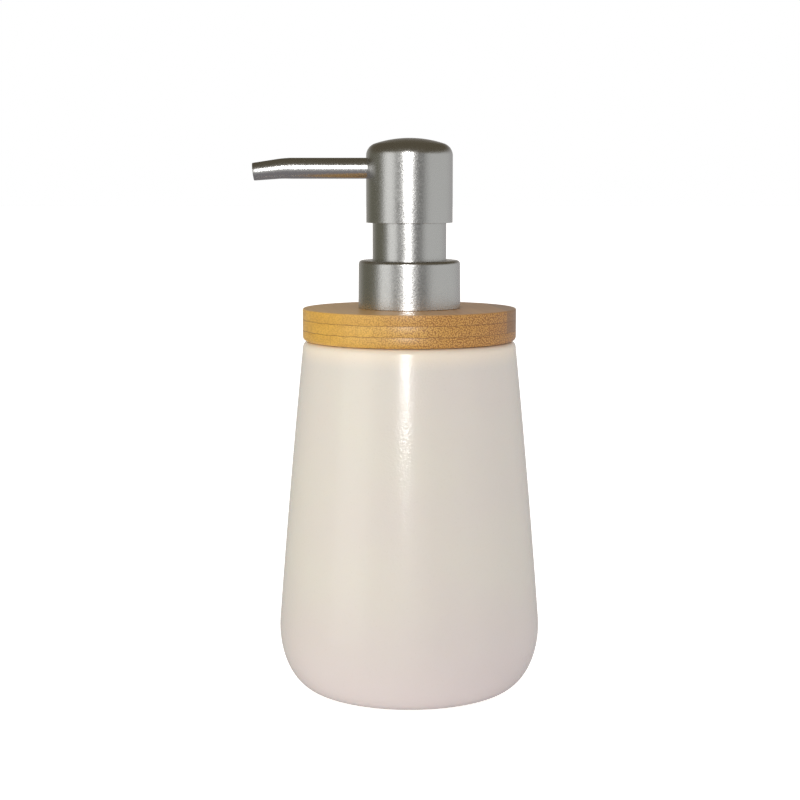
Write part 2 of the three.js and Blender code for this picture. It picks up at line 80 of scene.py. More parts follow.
def arc(r, z, radius_r, radius_z, start, end, steps):
    """Points of an elliptical arc about (r, z); angles in degrees."""
    points = []
    for i in range(steps + 1):
        a = math.radians(start + (end - start) * i / steps)
        points.append((r + radius_r * math.cos(a), z + radius_z * math.sin(a)))
    return points


def eased(corners, ring=True, support=0.25):
    """An outline whose corners are rounded. A corner is (r, z) or (r, z, rounding radius).

    A rounded corner also gets a point a little way along each flat, which keeps the flat's shading flat.
    """
    straight, facet = math.radians(179), math.radians(15)
    round_share, flat_share, least_support = 0.45, 0.4, 0.02
    corners = [(*c, 0.0) if len(c) == 2 else c for c in corners]
    count = len(corners)
    outline = []
    for i, (r, z, size) in enumerate(corners):
        here = Vector((r, z))
        is_end = not ring and i in (0, count - 1)
        if size <= 0 or is_end:
            outline.append((r, z))
            continue
        before = Vector(corners[i - 1][:2]) - here
        after = Vector(corners[(i + 1) % count][:2]) - here
        angle = before.angle(after)
        if angle > straight:
            outline.append((r, z))
            continue
        reach = min(size / math.tan(angle / 2), round_share * before.length, round_share * after.length)
        size = reach * math.tan(angle / 2)
        first, last = before.normalized() * reach, after.normalized() * reach
        extra = min(support, flat_share * before.length - reach, flat_share * after.length - reach)
        if extra > least_support:
            outline.append(tuple(here + before.normalized() * (reach + extra)))
        centre = (before.normalized() + after.normalized()).normalized() * (size / math.sin(angle / 2))
        steps = max(2, round((math.pi - angle) / facet))
        from_spoke, to_spoke = (first - centre).normalized(), (last - centre).normalized()
        for k in range(steps + 1):
            outline.append(tuple(here + centre + from_spoke.slerp(to_spoke, k / steps) * size))
        if extra > least_support:
            outline.append(tuple(here + after.normalized() * (reach + extra)))
    return outline


# ---------------------------------------------------------------- meshes


def finished(name, bm, material, body, node):
    """Turns a bmesh in millimetres into a piece that rides on a body and stands for a CAD node."""
    bmesh.ops.scale(bm, vec=(MM, MM, MM), verts=bm.verts)
    bmesh.ops.recalc_face_normals(bm, faces=bm.faces)
    mesh = bpy.data.meshes.new(name)
    bm.to_mesh(mesh)
    bm.free()
    mesh.shade_smooth()
    mesh.set_sharp_from_angle(angle=CREASE)
    mesh.materials.append(material)
    piece = bpy.data.objects.new(name, mesh)
    bpy.context.scene.collection.objects.link(piece)
    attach(piece, body)
    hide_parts(node)
    return piece


def spin(bm, outline, sides, ring=True):
    """Adds a surface turned round Z. A ring's outline closes; a solid's starts and ends on the axis."""
    rings = []
    for r, z in outline:
        if r < 1e-6:
            rings.append([bm.verts.new((0, 0, z))])
            continue
        rings.append([
            bm.verts.new((r * math.cos(2 * math.pi * k / sides), r * math.sin(2 * math.pi * k / sides), z))
            for k in range(sides)
        ])
    pairs = list(zip(rings, rings[1:]))
    if ring:
        pairs.append((rings[-1], rings[0]))
    for a, b in pairs:
        if len(a) == len(b) == 1:
            continue
        for k in range(sides):
            n = (k + 1) % sides
            if len(a) == 1:
                bm.faces.new((a[0], b[n], b[k]))
            elif len(b) == 1:
                bm.faces.new((a[k], a[n], b[0]))
            else:
                bm.faces.new((a[k], a[n], b[n], b[k]))


def turned(name, outline, material, body, node, sides=160, ring=True):
    """A turned piece."""
    bm = bmesh.new()
    spin(bm, outline, sides, ring)
    return finished(name, bm, material, body, node)


# ---------------------------------------------------------------- material nodes


class Nodes:
    """A short way to write a node tree."""

    def __init__(self, tree):
        self.tree = tree
        tree.nodes.clear()

    def add(self, kind, inputs=None, **settings):
        node = self.tree.nodes.new(kind)
        for key, value in settings.items():
            setattr(node, key, value)
        for key, value in (inputs or {}).items():
            self.put(node.inputs[key], value)
        return node

    def put(self, socket, value):
        if isinstance(value, bpy.types.NodeSocket):
            self.tree.links.new(value, socket)
        else:
            socket.default_value = value

    def math(self, operation, a, b=0.0, clamp=False):
        return self.add("ShaderNodeMath", {0: a, 1: b}, operation=operation, use_clamp=clamp).outputs[0]

    def remap(self, value, from_low, from_high, to_low=0.0, to_high=1.0, smooth=False):
        node = self.add("ShaderNodeMapRange", {
            "Value": value, "From Min": from_low, "From Max": from_high, "To Min": to_low, "To Max": to_high,
        })
        node.interpolation_type = "SMOOTHSTEP" if smooth else "LINEAR"
        return node.outputs[0]

    def mix(self, factor, a, b, blend="MIX"):
        node = self.add("ShaderNodeMix", data_type="RGBA", blend_type=blend)
        self.put(node.inputs[0], factor)
        self.put(node.inputs[6], a)
        self.put(node.inputs[7], b)
        return node.outputs[2]

    def noise(self, vector, scale, detail=2.0, roughness=0.5):
        node = self.add("ShaderNodeTexNoise", {
            "Vector": vector, "Scale": scale, "Detail": detail, "Roughness": roughness,
        })
        return node.outputs[0]

    def millimetres(self, stretch=(1, 1, 1), turn=0.0, shift=(0, 0, 0)):
        """The piece's own coordinates in millimetres, turned about Z, then stretched axis by axis."""
        place = self.add("ShaderNodeTexCoord").outputs["Object"]
        spun = self.add("ShaderNodeMapping", {"Vector": place, "Rotation": (0, 0, turn)})
        sized = self.add("ShaderNodeMapping", {
            "Vector": spun.outputs[0],
            "Scale": tuple(s / MM for s in stretch),
            "Location": shift,
        })
        return sized.outputs[0]

    def bump(self, height, distance_mm, strength=1.0, normal=None):
        inputs = {"Height": height, "Distance": distance_mm * MM, "Strength": strength}
        if normal is not None:
            inputs["Normal"] = normal
        return self.add("ShaderNodeBump", inputs).outputs[0]

    def surface(self, **inputs):
        """The Principled surface; a name's underscores stand for spaces."""
        shader = self.add("ShaderNodeBsdfPrincipled", {k.replace("_", " "): v for k, v in inputs.items()})
        out = self.add("ShaderNodeOutputMaterial")
        self.tree.links.new(shader.outputs[0], out.inputs["Surface"])


def new_material(name):
    material = bpy.data.materials.new(name)
    material.use_nodes = True
    return material, Nodes(material.node_tree)


def satin_steel():
    """Stainless steel with a fine blasted satin: a grain that breaks up the edge of a highlight."""
    material, n = new_material("satin_steel")
    grain = n.noise(n.millimetres(), 1.9, 1.0, 0.6)
    patch = n.noise(n.millimetres(shift=(7, 3, 1)), 0.16, 2.0)
    rough = n.math("ADD", n.remap(grain, 0.3, 0.7, 0.25, 0.31), n.remap(patch, 0.3, 0.7, -0.01, 0.01))
    tone = n.mix(n.remap(grain, 0.3, 0.7), (0.655, 0.65, 0.64, 1), (0.69, 0.685, 0.675, 1))
    n.surface(Base_Color=tone, Metallic=1.0, Roughness=rough, Normal=n.bump(grain, 0.04, 0.6))
    return material


def bright_steel():
    """Drawn and polished steel of the spring and the ball."""
    material, n = new_material("bright_steel")
    streak = n.noise(n.millimetres(), 1.2, 3.0)
    n.surface(Base_Color=(0.66, 0.66, 0.65, 1), Metallic=1.0, Roughness=n.remap(streak, 0.3, 0.7, 0.12, 0.24))
    return material


def glazed_ceramic(top):
    """Warm white stoneware under a satin glaze, with a dry, unglazed ring where it stands. Painted shade
    darkens it towards the foot, and a painted glow lightens it under the lid.
    """
    material, n = new_material("glazed_ceramic")
    place = n.millimetres()
    cloud = n.noise(place, 0.035, 3.0, 0.55)
    speck = n.noise(place, 1.5, 2.0, 0.6)
    wave = n.noise(place, 0.09, 2.0)
    cream, blush = (0.760, 0.722, 0.662, 1), (0.750, 0.697, 0.662, 1)
    # Two of these colours are painted light: the foot's is painted shade with floor bounce, and the rim's is
    # a painted glow under the lid.
    painted_foot_shade, painted_rim_glow = (0.725, 0.655, 0.65, 1), (0.90, 0.80, 0.69, 1)
    fleck, dry_clay = (0.62, 0.56, 0.49, 1), (0.60, 0.53, 0.45, 1)
    tone = n.mix(n.remap(cloud, 0.3, 0.7), cream, blush)
    height = n.add("ShaderNodeSeparateXYZ", {"Vector": place}).outputs[2]
    # Darker and pinker towards the foot: painted shade and painted bounce light from the pale floor.
    tone = n.mix(n.remap(height, 45.0, 4.0, smooth=True), tone, painted_foot_shade)
    # A lighter, warmer band just under the lid: a painted glow standing in for light bounced off the bamboo
    # lid.
    tone = n.mix(n.remap(height, top - 7.0, top - 0.8, smooth=True), tone, painted_rim_glow)
    tone = n.mix(n.remap(speck, 0.62, 0.75, 0.0, 0.18), tone, fleck)
    bare = n.remap(height, 0.25, 0.6, 1.0, 0.0)
    tone = n.mix(bare, tone, dry_clay)
    rough = n.remap(speck, 0.35, 0.7, 0.11, 0.18)
    rough = n.math("ADD", rough, n.math("MULTIPLY", bare, 0.4), clamp=True)
    orange_peel = n.bump(speck, 0.06, 0.7, n.bump(wave, 0.4, 0.06))
    n.surface(
        Base_Color=tone,
        Roughness=rough,
        IOR=1.5,
        Subsurface_Weight=0.12,
        Subsurface_Radius=(1.0, 0.6, 0.4),
        Subsurface_Scale=0.0015,
        Normal=orange_peel,
    )
    return material


def bamboo(ply_lines, lid_top):
    """Laminated bamboo under a thin lacquer.

    The fibres run to and fro, a little turned, so the rim shows their cut ends in front and their sides at
    the left and right. Each ply is glued up from strips, and the plies meet in thin, wavy glue lines. The
    upper two plies have a dark strip at the far right.
    """
    material, n = new_material("bamboo")
    turn = math.radians(-8)
    first_strip, stagger = 6.6, 0.63
    dark_strip, top_band_depth, skin = 26.0, 0.3, 0.1
    honey, amber = (0.78, 0.45, 0.065, 1), (0.43, 0.150, 0.014, 1)
    pale_fibre, dark_pore = (0.84, 0.51, 0.15, 1), (0.30, 0.11, 0.018, 1)
    soft_tone, line_tone = (0.42, 0.19, 0.04, 1), (0.36, 0.16, 0.035, 1)
    # The second colour here, for the lid's right edge, is painted shade.
    dark_tone, painted_edge_shade = (0.23, 0.115, 0.05, 1), (0.20, 0.08, 0.02, 1)
    # Of these, the top face's colour is a painted sheen.
    glue_tone, seam_tone, painted_top_sheen_tone = (0.21, 0.085, 0.016, 1), (0.22, 0.09, 0.02, 1), (0.66, 0.47, 0.31, 1)

    across = n.add("ShaderNodeSeparateXYZ", {"Vector": n.millimetres(turn=turn)})
    side, height = across.outputs[0], across.outputs[2]
    fibre = n.millimetres(stretch=(1, 0.04, 1), turn=turn)
    streak = n.millimetres(stretch=(1, 0.012, 1), turn=turn, shift=(3, 0, 0))

    layer = n.math("FLOOR", n.math("DIVIDE", n.math("SUBTRACT", height, ply_lines[0] - PLY), PLY))
    shift = n.math("MULTIPLY", n.math("FRACT", n.math("MULTIPLY", layer, stagger)), STRIP)
    along = n.math("DIVIDE", n.math("ADD", n.math("ADD", side, shift), first_strip), STRIP)
    strip = n.math("FLOOR", along)
    strip_id = n.add("ShaderNodeCombineXYZ", {0: strip, 1: layer, 2: 3.7}).outputs[0]
    chance = n.add("ShaderNodeTexWhiteNoise", {"Vector": strip_id}, noise_dimensions="3D").outputs[0]

    warm = n.math("MULTIPLY", n.remap(side, -30.0, 26.0, smooth=True), 0.8)
    warm = n.math("ADD", warm, n.remap(chance, 0.0, 1.0, -0.08, 0.16), clamp=True)
    tone = n.mix(warm, honey, amber)

    soft = n.noise(fibre, 0.45, 3.0, 0.6)
    tone = n.mix(n.remap(soft, 0.35, 0.75, 0.0, 0.30), tone, soft_tone)
    cut = n.add("ShaderNodeCombineXYZ", {0: side, 1: height}).outputs[0]
    cells = {"Vector": cut, "Scale": 2.15, "Randomness": 0.9}
    ends = n.add("ShaderNodeTexVoronoi", cells, feature="F1", voronoi_dimensions="2D").outputs["Distance"]
    pale = n.remap(ends, 0.40, 0.20, smooth=True)
    dark = n.remap(ends, 0.38, 0.58, smooth=True)
    grain = n.remap(side, -26.0, 4.0, 0.25, 1.0, smooth=True)
    flat = n.remap(height, lid_top - top_band_depth, lid_top - skin, 1.0, 0.25)
    grain = n.math("MULTIPLY", grain, flat)
    tone = n.mix(n.math("MULTIPLY", pale, n.math("MULTIPLY", grain, 0.50)), tone, pale_fibre)
    tone = n.mix(n.math("MULTIPLY", dark, n.math("MULTIPLY", grain, 0.80)), tone, dark_pore)
    lines = n.noise(streak, 1.7, 3.0, 0.7)
    tone = n.mix(n.remap(lines, 0.56, 0.74, 0.0, 0.28), tone, line_tone)
    outer = n.remap(side, dark_strip - 0.1, dark_strip + 0.1)
    outer = n.math("MULTIPLY", outer, n.remap(layer, 0.4, 0.6))
    tone = n.mix(n.math("MULTIPLY", outer, 0.65), tone, dark_tone)
    # Darker towards the lid's right edge: painted shade.
    tone = n.mix(n.remap(side, 19.0, 29.0, 0.0, 0.22), tone, painted_edge_shade)

    waver = n.remap(n.noise(n.millimetres(), 0.22, 3.0), 0.25, 0.75, -0.14, 0.14)
    glue = 0.0
    for line in ply_lines:
        gap = n.math("ABSOLUTE", n.math("SUBTRACT", n.math("ADD", height, waver), line))
        glue = n.math("MAXIMUM", glue, n.remap(gap, 0.03, 0.20, 1.0, 0.0, smooth=True))
    broken = n.remap(n.noise(n.millimetres(shift=(5, 1, 8)), 1.4, 2.0), 0.3, 0.6, 0.35, 0.75)
    tone = n.mix(n.math("MULTIPLY", glue, broken), tone, glue_tone)
    within = n.math("FRACT", along)
    from_edge = n.math("MULTIPLY", n.math("MINIMUM", within, n.math("SUBTRACT", 1.0, within)), STRIP)
    seam = n.remap(from_edge, 0.0, 0.12, 1.0, 0.0)
    tone = n.mix(n.math("MULTIPLY", seam, 0.18), tone, seam_tone)
    # The top face paler and pinker: a painted sheen, standing in for the lacquer's reflection at a grazing
    # view.
    painted_top_sheen = n.remap(height, lid_top - top_band_depth, lid_top - skin)
    tone = n.mix(n.math("MULTIPLY", painted_top_sheen, 0.32), tone, painted_top_sheen_tone)

    n.surface(
        Base_Color=tone,
        Roughness=n.remap(soft, 0.3, 0.7, 0.46, 0.56),
        Normal=n.bump(ends, 0.02, 0.2),
        Coat_Weight=0.62,
        Coat_Roughness=0.33,
        Coat_IOR=1.5,
    )
    return material


def moulded(name, colour, rough_low, rough_high, subsurface):
    """Injection-moulded plastic or silicone: a faint, even spark-erosion grain."""
    material, n = new_material(name)
    grain = n.noise(n.millimetres(), 4.0, 2.0)
    drift = n.noise(n.millimetres(shift=(2, 5, 9)), 0.2, 2.0)
    shade = tuple(c * 0.93 for c in colour)
    n.surface(
        Base_Color=n.mix(n.remap(drift, 0.3, 0.7), (*colour, 1), (*shade, 1)),
        Roughness=n.remap(grain, 0.3, 0.7, rough_low, rough_high),
        Normal=n.bump(grain, 0.02, 0.3),
        Subsurface_Weight=subsurface,
        Subsurface_Radius=(1.0, 0.9, 0.8),
        Subsurface_Scale=0.001,
    )
    return material


# ---------------------------------------------------------------- camera, light and floor


def camera():
    """Looks along +Y from the height of the pump's head, just below the spout, pitched slightly down."""
    pitch_down = 6.852
    data = bpy.data.cameras.new("camera")
    data.sensor_width = 36.0
    data.lens = 80.47
    data.clip_start = 0.01
    data.clip_end = 50.0
    eye = bpy.data.objects.new("camera", data)
    eye.location = Vector((-2.8, -533.3, 151.2)) * MM
    eye.rotation_euler = (math.radians(90 - pitch_down), 0, 0)
    bpy.context.scene.collection.objects.link(eye)
    bpy.context.scene.camera = eye


def towards(azimuth, elevation):
    """A direction from the pump; azimuth 0 is towards the camera, and positive is to the camera's right."""
    a, e = math.radians(azimuth), math.radians(elevation)
    return Vector((math.sin(a) * math.cos(e), -math.cos(a) * math.cos(e), math.sin(e)))


def place_light(name, data, way, distance):
    """Puts a light where it faces the pump from a direction."""
    light = bpy.data.objects.new(name, data)
    light.location = Vector((0, 0, LIGHT_AIM)) + way * distance
    light.rotation_euler = (-way).to_track_quat("-Z", "Y").to_euler()
    light.visible_camera = False
    bpy.context.scene.collection.objects.link(light)
    return light


def soft_box(name, azimuth, elevation, distance, width, height, radiance, colour):
    """A rectangular soft box; its strength is given as the brightness of its face. Lengths are in metres."""
    data = bpy.data.lights.new(name, "AREA")
    data.shape = "RECTANGLE"
    data.size, data.size_y = width, height
    data.energy = radiance * math.pi * width * height
    data.color = colour
    return place_light(name, data, towards(azimuth, elevation), distance)


def ramp(n, value, stops):
    """A colour ramp over 0..1; a stop is (position, colour)."""
    node = n.add("ShaderNodeValToRGB", {"Fac": value})
    elements = node.color_ramp.elements
    while len(elements) > 1:
        elements.remove(elements[-1])
    elements[0].position, elements[0].color = stops[0][0], (*stops[0][1], 1)
    for position, colour in stops[1:]:
        elements.new(position).color = (*colour, 1)
    return node.outputs[0]


def studio():
    """A white backdrop for the camera, a dim room for everything else, and the lights.

    The key, halo and left soft boxes show only in reflections. The fill and the wide, even light from above
    aren't reflected. The walls' colours go by azimuth, as in towards().
    """
    world = bpy.data.worlds.new("studio")
    bpy.context.scene.world = world
    world.use_nodes = True
    n = Nodes(world.node_tree)
    way = n.add("ShaderNodeSeparateXYZ", {"Vector": n.add("ShaderNodeTexCoord").outputs["Generated"]})
    bearing = n.math("ARCTAN2", way.outputs[0], n.math("MULTIPLY", way.outputs[1], -1.0))
    round_room = n.remap(bearing, -math.pi, math.pi)
    walls = ramp(n, round_room, [
        ((az + 180) / 360, colour) for az, colour in (
            (-180, (0.52, 0.50, 0.48)),
            (-152, (0.38, 0.37, 0.34)),
            (-124, (0.15, 0.145, 0.11)),
            (-88, (0.15, 0.145, 0.11)),
            (-70, (0.43, 0.43, 0.415)),
            (-46, (0.43, 0.43, 0.42)),
            (-30, (0.23, 0.23, 0.22)),
            (0, (0.50, 0.50, 0.49)),
            (24, (0.13, 0.13, 0.125)),
            (34, (0.22, 0.22, 0.215)),
            (52, (0.605, 0.61, 0.60)),
            (115, (0.565, 0.57, 0.56)),
            (150, (0.43, 0.42, 0.42)),
            (180, (0.52, 0.50, 0.48)),
        )
    ])
    overhead = n.remap(way.outputs[2], 0.10, 0.46, smooth=True)
    room = n.mix(overhead, walls, (0.11, 0.095, 0.065, 1))
    underfoot = n.remap(way.outputs[2], -0.22, -0.65, smooth=True)
    room = n.mix(underfoot, room, (0.22, 0.21, 0.22, 1))
    seen = n.add("ShaderNodeLightPath").outputs["Is Camera Ray"]
    sky = n.add("ShaderNodeBackground", {"Color": n.mix(seen, room, (1, 1, 1, 1)), "Strength": 1.0})
    out = n.add("ShaderNodeOutputWorld")
    n.tree.links.new(sky.outputs[0], out.inputs["Surface"])

    key = soft_box("key", azimuth=-4, elevation=14, distance=1.6, width=0.15, height=0.64,
                   radiance=25.0, colour=(1.0, 0.995, 0.985))
    halo = soft_box("halo", azimuth=-4, elevation=14, distance=1.7, width=0.55, height=0.72,
                    radiance=2.6, colour=(1.0, 0.995, 0.985))
    left = soft_box("left", azimuth=-55, elevation=8, distance=1.4, width=0.8, height=1.0,
                    radiance=0.56, colour=(1.0, 1.0, 0.985))
    for box in (key, halo, left):
        box.visible_diffuse = False
    fill = soft_box("fill", azimuth=-52, elevation=4, distance=2.0, width=1.6, height=1.2,
                    radiance=2.6, colour=(1.0, 1.0, 0.82))
    fill.visible_glossy = False
    even = bpy.data.lights.new("even", "SUN")
    even.angle = math.radians(140)
    even.energy = 1.66
    even.color = (1.0, 0.985, 1.0)
    place_light("even", even, towards(azimuth=0, elevation=72), distance=1.0).visible_glossy = False


def floor():
    """A pale round floor that isn't reflected. It glows more to the camera, so that it meets the backdrop."""
    radius_m = 12.0
    material, n = new_material("floor")
    seen = n.add("ShaderNodeLightPath").outputs["Is Camera Ray"]
    n.surface(
        Base_Color=(0.9, 0.9, 0.9, 1),
        Roughness=0.8,
        Emission_Color=(1, 0.99, 0.985, 1),
        Emission_Strength=n.remap(seen, 0.0, 1.0, 0.33, 0.75),
    )
    bm = bmesh.new()
    bmesh.ops.create_circle(bm, cap_ends=True, segments=96, radius=radius_m)
    mesh = bpy.data.meshes.new("floor")
    bm.to_mesh(mesh)
    bm.free()
    mesh.materials.append(material)
    plane = bpy.data.objects.new("floor", mesh)
    plane.visible_glossy = False
    bpy.context.scene.collection.objects.link(plane)


# ---------------------------------------------------------------- bottle


def make_bottle(material):
    base, swell, belly, rim, rim_round = 27.8, 11.4, 18.9, 31.8, 2.0
    bulge, wall, floor_thickness = 0.25, 4.6, 5.0
    mouth, mouth_depth = 26.0, 12.0
    shoulder_in, shoulder_depth, foot_round = 4.2, 1.6 * mouth_depth, 2.0
    top = high("bottle")
    taper = (base + swell - rim) / (top - belly)
    tangent = math.degrees(math.atan(taper * belly / swell))
    foot = arc(base, belly, swell, belly, -90, tangent, 44)
    side_r, side_z = foot[-1]
    side_top = top - rim_round
    side, side_steps = [], 24
    for i in range(1, side_steps):
        u = i / side_steps
        side.append((side_r + (rim - side_r) * u + 4 * bulge * u * (1 - u), side_z + (side_top - side_z) * u))
    edge = arc(rim - rim_round, side_top, rim_round, rim_round, 0, 90, 10)
    lip = eased([
        (rim - rim_round - 0.4, top),
        (mouth, top, 0.8),
        (mouth, top - mouth_depth, 3.0),
        (side_r - wall - shoulder_in, top - shoulder_depth, 3.0),
        (base + swell - wall, belly),
    ], ring=False)
    well = arc(base, belly, swell - wall, belly - floor_thickness, 0, -90, 20)
    outline = [(0, 0), (base - foot_round, 0), *foot, *side, *edge, *lip, *well[1:], (0, floor_thickness)]
    turned("bottle_glazed", outline, material, "bottle", "bottle", sides=224, ring=False)


# ---------------------------------------------------------------- lid


def make_lid(material, ply_lines):
    bore, plug, groove_depth, groove_width = 14.02, 24.0, 1.6, 3.0
    bottom, top = ply_lines[0] - PLY, high("bamboo_lid")
    plug_bottom = low("bamboo_lid")
    rim = radius("bamboo_lid")
    middle = (bottom + plug_bottom) / 2
    corners = [
        (bore, plug_bottom, 0.3),
        (plug, plug_bottom, 0.6),
        (plug, middle - groove_width / 2, 0.15),
        (plug - groove_depth, middle - groove_width / 2),
        (plug - groove_depth, middle + groove_width / 2),
        (plug, middle + groove_width / 2, 0.15),
        (plug, bottom, 0.2),
        (rim, bottom, 1.3),
    ]
    nick_depth, nick_half = 0.03, 0.1
    for line in ply_lines:
        corners += [(rim, line - nick_half), (rim - nick_depth, line), (rim, line + nick_half)]
    corners += [(rim, top, 0.4), (bore, top, 0.25)]
    turned("lid_laminated", eased(corners), material, "lid", "bamboo_lid", sides=256)


def make_seal_ring(material):
    bottom, top = low("lid_seal_ring"), high("lid_seal_ring")
    inner, body, lip = 22.52, 24.3, radius("lid_seal_ring")
    half = (top - bottom) / 2
    corners = [(inner, bottom, 0.1)]
    for i in range(2):
        z = bottom + i * half
        corners += [(body, z, 0.12), (lip, z + 0.55 * half, 0.12), (body + 0.5, z + 0.85 * half, 0.1)]
    corners += [(body, top, 0.12), (inner, top, 0.1)]
    turned("seal_ring_lipped", eased(corners, support=0.08), material, "lid", "lid_seal_ring")


def helix_ridge(bm, inner, outer, start_z, first_turn, turns, pitch):
    """A screw ridge of wedge section; inner and outer are each (radius, width). Its ends run out to nothing.

    The ends each take a twelfth of its length to reach their full height.
    """
    turn_steps, run_outs = 96, 12
    steps = round(turns * turn_steps)
    sections = []
    for i in range(steps + 1):
        t = i / steps
        grow = min(1.0, min(t, 1 - t) * run_outs)
        a = 2 * math.pi * (first_turn + turns * t)
        z = start_z + pitch * (first_turn + turns * t)
        (r0, w0), (r1, w1) = inner, outer
        near, far = (r0, r0 + (r1 - r0) * grow) if w0 > w1 else (r1 - (r1 - r0) * grow, r1)
        ring = []
        for r, w in ((near, -w0), (far, -w1), (far, w1), (near, w0)):
            ring.append(bm.verts.new((r * math.cos(a), r * math.sin(a), z + w / 2)))
        sections.append(ring)
    for a, b in zip(sections, sections[1:]):
        for k in range(4):
            n = (k + 1) % 4
            bm.faces.new((a[k], a[n], b[n], b[k]))
    bm.faces.new(sections[0])
    bm.faces.new(reversed(sections[-1]))


THREAD = {"pitch": 4.233, "turns": 1.25, "lead": 2.6, "start": 0.5 / 24, "base": 1.7, "crest": 0.9}


def make_neck_insert(material):
    root, bore, crest = 12.55, 10.2, 13.75
    body, ridge_sink = crest + 0.15, 0.4
    bottom, top = low("neck_insert"), high("neck_insert")
    flange, flange_top = radius("neck_insert"), low("bamboo_lid") - CLEARANCE
    seat = high("bamboo_lid")
    bm = bmesh.new()
    spin(bm, eased([
        (bore, bottom, 0.2),
        (flange, bottom, 0.5),
        (flange, flange_top, 0.2),
        (body, flange_top),
        (body, seat, 0.15),
        (root, seat),
        (root, top, 0.3),
        (bore, top, 0.2),
    ]), 128)
    helix_ridge(bm, (root - ridge_sink, THREAD["base"]), (crest, THREAD["crest"]), seat + THREAD["lead"],
                THREAD["start"], THREAD["turns"], THREAD["pitch"])
    finished("neck_insert_threaded", bm, material, "lid", "neck_insert")


# ---------------------------------------------------------------- collar


def make_closure(material):
    bottom, top = low("closure"), high("closure")
    outer, inner, hole, crest, ridge_sink = radius("closure"), 14.05, 9.3, 12.85, 0.3
    web = top - 1.1
    bm = bmesh.new()
    spin(bm, eased([
        (inner, bottom, 0.1),
        (outer, bottom, 0.15),
        (outer, top, 0.7),
        (hole, top, 0.15),
        (hole, web, 0.15),
        (inner, web, 0.2),
    ], support=0.1), 128)
    seat = high("bamboo_lid")
    helix_ridge(bm, (crest, THREAD["crest"]), (inner + ridge_sink, THREAD["base"]),
                seat + THREAD["lead"] + THREAD["pitch"] / 2, THREAD["start"] - 0.5,
                THREAD["turns"], THREAD["pitch"])
    finished("closure_threaded", bm, material, "collar", "closure")


def make_collar_shell(material):
    bottom, top = low("collar_shell"), high("collar_shell")
    wall, draft, gap = 0.36, 0.15, 0.15
    outer = radius("collar_shell")
    upper, hole = outer - draft, radius("neck_shell") + gap
    inner = upper - wall
    turned("collar_shell_satin", eased([
        (inner, bottom, 0.1),
        (outer, bottom, 0.12),
        (upper, top, 1.05),
        (hole, top, 0.16),
        (hole, top - wall, 0.1),
        (inner, top - wall, 0.7),
    ], support=0.3), material, "collar", "collar_shell", sides=192)


# ---------------------------------------------------------------- pump body


def make_neck_shell(material):
    bottom, top, outer = low("neck_shell"), high("neck_shell"), radius("neck_shell")
    wall, hole = 0.36, 5.6
    turned("neck_shell_satin", eased([
        (outer - wall, bottom),
        (outer, bottom, 0.1),
        (outer, top, 0.4),
        (hole, top, 0.12),
        (hole, top - wall, 0.1),
        (outer - wall, top - wall, 0.2),
    ]), material, "pump", "neck_shell", sides=160)


def make_pump_housing(material):
    """The cylinder that hangs in the bottle, with its flange, inlet valve chamber and tube socket."""
    bottom, top = low("pump_housing"), high("pump_housing")
    flange_bottom = high("neck_gasket") + CLEARANCE
    flange_top = flange_bottom + 1.2
    bore, outer, chamber, flange, neck = 7.0, 8.0, 4.6, radius("pump_housing"), 9.15
    ledge, tube_stop = low("ball_cage") - CLEARANCE, high("dip_tube") + CLEARANCE
    tube_hole, valve, seat = 3.05, 3.4, 1.6
    turned("pump_housing_moulded", eased([
        (tube_hole, bottom, 0.15),
        (chamber, bottom, 0.4),
        (chamber, ledge - 2.4, 0.8),
        (outer, ledge - 0.8, 0.8),
        (outer, flange_bottom, 0.2),
        (flange, flange_bottom, 0.2),
        (flange, flange_top, 0.2),
        (neck, flange_top, 0.1),
        (neck, top, 0.3),
        (bore, top, 0.3),
        (bore, ledge),
        (valve, ledge, 0.2),
        (valve, ledge - 4.2),
        (seat, ledge - 6.1),
        (seat, tube_stop),
        (tube_hole, tube_stop),
    ]), material, "pump", "pump_housing", sides=96)


def make_dip_tube(material):
    """The tube's foot is cut on the slant, so that it can't seal itself against the bottle's floor."""
    bottom, top, outer, bore = low("dip_tube"), high("dip_tube"), 3.0, 2.0
    bm = bmesh.new()
    sides, rows = 64, []
    slope, flat_to = math.tan(math.radians(30)), -1.0
    for r, end in ((outer, 0), (outer, 1), (bore, 1), (bore, 0)):
        row = []
        for k in range(sides):
            a = 2 * math.pi * k / sides
            x = r * math.cos(a)
            foot = bottom + max(0.0, (x - flat_to) * slope)
            row.append(bm.verts.new((x, r * math.sin(a), top if end else foot)))
        rows.append(row)
    for a, b in zip(rows, rows[1:] + rows[:1]):
        for k in range(sides):
            n = (k + 1) % sides
            bm.faces.new((a[k], a[n], b[n], b[k]))
    finished("dip_tube_cut", bm, material, "pump", "dip_tube")


def make_pump_spring(material):
    """The return spring: a drawn wire with closed end turns, built at rest. The real spring flattens as the
    head is pressed.
    """
    wire, mean, turns, closed_ends = 0.4, 4.4, 8, 0.35
    wire_sides, turn_steps = 14, 36
    bottom, top = low("pump_spring"), high("pump_spring")
    bm = bmesh.new()
    rings = []
    for i in range(turns * turn_steps + 1):
        u = i / (turns * turn_steps)
        a = 2 * math.pi * u * turns
        rise = u + (u * u * (3 - 2 * u) - u) * closed_ends
        z = bottom + wire + (top - bottom - 2 * wire) * rise
        ring = []
        for k in range(wire_sides):
            b = 2 * math.pi * k / wire_sides
            r = mean + wire * math.cos(b)
            ring.append(bm.verts.new((r * math.cos(a), r * math.sin(a), z + wire * math.sin(b))))
        rings.append(ring)
    for a, b in zip(rings, rings[1:]):
        for k in range(wire_sides):
            n = (k + 1) % wire_sides
            bm.faces.new((a[k], a[n], b[n], b[k]))
    bm.faces.new(rings[0])
    bm.faces.new(reversed(rings[-1]))
    spring = finished("pump_spring_wound", bm, material, "pump", "pump_spring")
    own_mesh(spring)


# ---------------------------------------------------------------- head


HEAD_RADIUS, DOME_RADIUS, CORNER_RADIUS = 12.82, 33.0, 3.8


